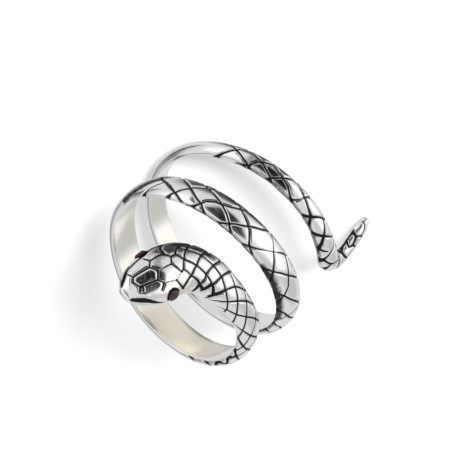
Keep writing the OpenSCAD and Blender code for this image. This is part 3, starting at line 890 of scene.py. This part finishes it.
# %% Dark stone
GARNET_IOR = 1.76
gem, tree = finish_of("garnet_cut_and_polished")
bsdf = add(tree, "ShaderNodeBsdfPrincipled", None,
           {"Base Color": colour("#200E15"), "Roughness": 0.08, "IOR": GARNET_IOR,
            "Specular IOR Level": 0.25})
add(tree, "ShaderNodeOutputMaterial", None, {"Surface": bsdf.outputs[0]})

# The sole's faces were given the second finish above.
casting.materials.append(polished)
casting.materials.append(satin)
for stone in stones.values():
    stone.data.materials.append(gem)
print("finishes:", polished.name, satin.name, gem.name)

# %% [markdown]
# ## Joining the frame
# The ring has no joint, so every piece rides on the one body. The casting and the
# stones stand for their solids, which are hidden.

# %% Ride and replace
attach(snake, "root")
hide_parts("snake_coil")
for name, stone in stones.items():
    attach(stone, "root")
    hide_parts(name)
print("pieces:", 1 + len(stones))

# %% [markdown]
# ## Table and camera
# The ring lies on plain white paper. The metal doesn't see the paper, so that the
# tent decides every reflection. The camera looks at the ring as the photograph does,
# and it is rolled, because the ring lies down here and stands upright there.

# %% Table
TABLE_HALF = 3
bm = bmesh.new()
bmesh.ops.create_grid(bm, x_segments=1, y_segments=1, size=TABLE_HALF)
table_mesh = bpy.data.meshes.new("table")
bm.to_mesh(table_mesh)
bm.free()
table = bpy.data.objects.new("table", table_mesh)
bpy.context.scene.collection.objects.link(table)
paper, tree = finish_of("white_paper")
bsdf = add(tree, "ShaderNodeBsdfPrincipled", None,
           {"Base Color": colour("#F4F4F4"), "Roughness": 0.9, "Specular IOR Level": 0.1})
add(tree, "ShaderNodeOutputMaterial", None, {"Surface": bsdf.outputs[0]})
table_mesh.materials.append(paper)
table.visible_glossy = False
print("the table is", 2 * TABLE_HALF, "m wide")

# %% Camera
RIGHT = Vector((-0.9564, 0.0022, -0.2919))
UP = Vector((0.2073, -0.6991, -0.6843))
BACK = Vector((-0.2057, -0.7150, 0.6682))
LENS_PLACE = Vector((-81.23, -285.13, 270.54))
camera_data = bpy.data.cameras.new("camera")
camera_data.lens, camera_data.sensor_width = 335.3, 36
camera_data.clip_start, camera_data.clip_end = 0.01, 20
camera = bpy.data.objects.new("camera", camera_data)
bpy.context.scene.collection.objects.link(camera)
view = Matrix((RIGHT, UP, BACK)).transposed().to_4x4()
camera.matrix_world = Matrix.Translation(LENS_PLACE * MM) @ view
bpy.context.scene.camera = camera
print("the camera looks down by", round(math.degrees(math.asin(BACK.z))), "degrees")

# %% [markdown]
# ## Black card
# Silver shows what stands round it more than itself, so a jewellery photographer
# hangs a black card near a ring, which gives the clean dark shapes on the domes. This
# one hangs over the ring, is bigger than it, and fades out towards its edge. It is flat
# and shows by a faint glow of its own, with a few upright strips painted lighter, as if
# folds caught the light. The metal alone sees it.

# %% Cut and hang the card
# A point on the finger's axis. The card's place is told from there, as the lens sees it.
ON_AXIS = Vector((0.364, 0.388, 4.042))
CARD, CARD_SIZE = Vector((1.8, 10.6, 32.5)), Vector((27.4, 40.4, 1))
bm = bmesh.new()
bmesh.ops.create_grid(bm, x_segments=1, y_segments=1, size=0.5 * MM)
bmesh.ops.scale(bm, vec=CARD_SIZE, verts=bm.verts)
card_mesh = bpy.data.meshes.new("black_card")
bm.to_mesh(card_mesh)
bm.free()
card = bpy.data.objects.new("black_card", card_mesh)
bpy.context.scene.collection.objects.link(card)
card.matrix_world = Matrix.Translation(ON_AXIS * MM) @ view @ Matrix.Translation(CARD * MM)
card.visible_camera = card.visible_diffuse = card.visible_shadow = False
print("the card is", [round(x, 1) for x in CARD_SIZE[:2]], "mm, and hangs", CARD.z, "mm off the axis")

# %% Velvet of the card: a faint glow, with painted lighter strips
# Painted lighter strips, like lit folds, about 2.4 mm apart and 20 mm long.
PAINTED_STRIP_TURN, PAINTED_STRIPS = 0.35, (0.42 / MM, 0.05 / MM, 1)
velvet, tree = finish_of("black_velvet")
spot = add(tree, "ShaderNodeTexCoord").outputs["Object"]
painted_strip_place = add(tree, "ShaderNodeMapping", None,
            {"Vector": spot, "Rotation": (0, 0, PAINTED_STRIP_TURN), "Scale": PAINTED_STRIPS}).outputs[0]
painted_strip = add(tree, "ShaderNodeTexNoise", None, {"Vector": painted_strip_place, "Scale": 1.0, "Detail": 1.0}).outputs["Fac"]
light = add(tree, "ShaderNodeMapRange", SOFT, {"Value": painted_strip, "From Min": 0.42, "From Max": 0.68}).outputs[0]
shade = add(tree, "ShaderNodeMix", COLOURS,
            {"Factor": light, MIX_A: colour("#1E1E20"), MIX_B: colour("#6A6A6E")}).outputs[MIX_OUT]
cloth = add(tree, "ShaderNodeEmission", None, {"Color": shade}).outputs[0]
# Clear outside an oval that fills the card.
oval = add(tree, "ShaderNodeMapping", {"vector_type": "TEXTURE"},
           {"Vector": spot, "Scale": CARD_SIZE * MM / 2}).outputs[0]
reach = add(tree, "ShaderNodeVectorMath", {"operation": "LENGTH"}, {0: oval}).outputs["Value"]
fade = add(tree, "ShaderNodeMapRange", SOFT, {"Value": reach, "From Min": 0.7, "From Max": 1.0}).outputs[0]
clear = add(tree, "ShaderNodeBsdfTransparent").outputs[0]
both = add(tree, "ShaderNodeMixShader", None, {0: fade, 1: cloth, 2: clear}).outputs[0]
add(tree, "ShaderNodeOutputMaterial", None, {"Surface": both})
card_mesh.materials.append(velvet)
print(velvet.name, "has", len(tree.nodes), "nodes")

# %% [markdown]
# ## Tent
# Round the ring stands a light grey tent with soft panels, some white and some dark,
# which shade the domes from rim to rim. The tent is the world, and each panel is an
# oval in a direction told from the lens. The metal sees the panels, and the table
# gets plain white light.

# %% Start the tent
world = bpy.data.worlds.new("tent")
bpy.context.scene.world = world
world.use_nodes = True
tree = world.node_tree
tree.nodes.clear()
sight = add(tree, "ShaderNodeTexCoord").outputs["Generated"]
PANEL_SOFT, PANEL_DEEP = 0.35, 0.9


def panel(right, up, back, width, height):
    """A soft-edged oval patch of the tent, 1 inside and 0 outside."""
    middle = (RIGHT * right + UP * up + BACK * back).normalized()
    side = UP.cross(middle).normalized()
    turn = Matrix((side, middle.cross(side), middle)).transposed().to_euler()
    near = add(tree, "ShaderNodeMapping", {"vector_type": "TEXTURE"},
               {"Vector": sight, "Location": middle, "Rotation": turn,
                "Scale": (width, height, PANEL_DEEP)}).outputs[0]
    reach = add(tree, "ShaderNodeVectorMath", {"operation": "LENGTH"}, {0: near}).outputs["Value"]
    return add(tree, "ShaderNodeMapRange", SOFT,
               {"Value": reach, "From Min": 1 - PANEL_SOFT, "From Max": 1 + PANEL_SOFT, "To Min": 1.0,
                "To Max": 0.0}).outputs[0]


print("an oval panel fades over", round(200 * PANEL_SOFT), "per cent of its half width")

# %% Hang the panels
# Each is: right, up and back from the ring, half width, half height, colour. A later one covers an
# earlier one.
PANELS = [
    (0.54, -0.62, 0.57, 0.50, 0.30, "#C0C0C2"),
    (0.85, -0.42, -0.30, 0.45, 0.30, "#BCBBB8"),
    (0.30, 0.80, -0.46, 0.46, 0.48, "#545456"),
    (-0.90, 0.00, -0.42, 0.35, 0.70, "#96969C"),
    (-0.82, 0.45, -0.36, 0.09, 0.42, "#3C3C40"),
    (-0.97, -0.10, -0.20, 0.07, 0.30, "#707076"),
    (-0.70, 0.50, 0.50, 0.35, 0.60, "#F4F4F6"),
    (0.92, 0.18, 0.34, 0.50, 0.50, "#FFFFFF"),
    (0.95, 0.00, 0.25, 0.24, 0.30, "#F8F7F3"),
    (-0.42, 0.64, 0.64, 0.05, 0.50, "#505054"),
    (0.30, 0.58, 0.76, 0.26, 0.36, "#28282A"),
    (0.37, 0.42, 0.83, 0.15, 0.19, "#505052"),
]
TENT_TO_METAL, TENT_TO_TABLE = 1.2, 0.83
tent = colour("#D2D2D4")
for *place, code in PANELS:
    tent = add(tree, "ShaderNodeMix", COLOURS,
               {"Factor": panel(*place), MIX_A: tent, MIX_B: colour(code)}).outputs[MIX_OUT]
rays = add(tree, "ShaderNodeLightPath").outputs
tent = add(tree, "ShaderNodeMix", COLOURS,
           {"Factor": rays["Is Glossy Ray"], MIX_A: colour("#FFFFFF"), MIX_B: tent}).outputs[MIX_OUT]
strength = add(tree, "ShaderNodeMapRange", None,
               {"Value": rays["Is Diffuse Ray"], "To Min": TENT_TO_METAL, "To Max": TENT_TO_TABLE}).outputs[0]
background = add(tree, "ShaderNodeBackground", None, {"Color": tent, "Strength": strength})
add(tree, "ShaderNodeOutputWorld", None, {"Surface": background.outputs[0]})
print(len(PANELS), "panels in the tent")

# %% [markdown]
# One round softbox gives the table its shadow, on the side where the photograph has
# it. The metal doesn't see the softbox, because the tent's panels already shine on it.

# %% Lamp
LAMP_D, LAMP_WATTS = 0.16, 3.4
lamp_data = bpy.data.lights.new("softbox", "AREA")
lamp_data.shape, lamp_data.size, lamp_data.energy = "DISK", LAMP_D, LAMP_WATTS
lamp = bpy.data.objects.new("softbox", lamp_data)
lamp.location = (-0.2, -0.346, 0.206)
lamp.rotation_euler = (-Vector(lamp.location)).to_track_quat("-Z", "Y").to_euler()
lamp.visible_glossy = False
bpy.context.scene.collection.objects.link(lamp)
bpy.context.scene.view_settings.view_transform = "Standard"
print("the softbox hangs", round(lamp.location.length, 2), "m away")
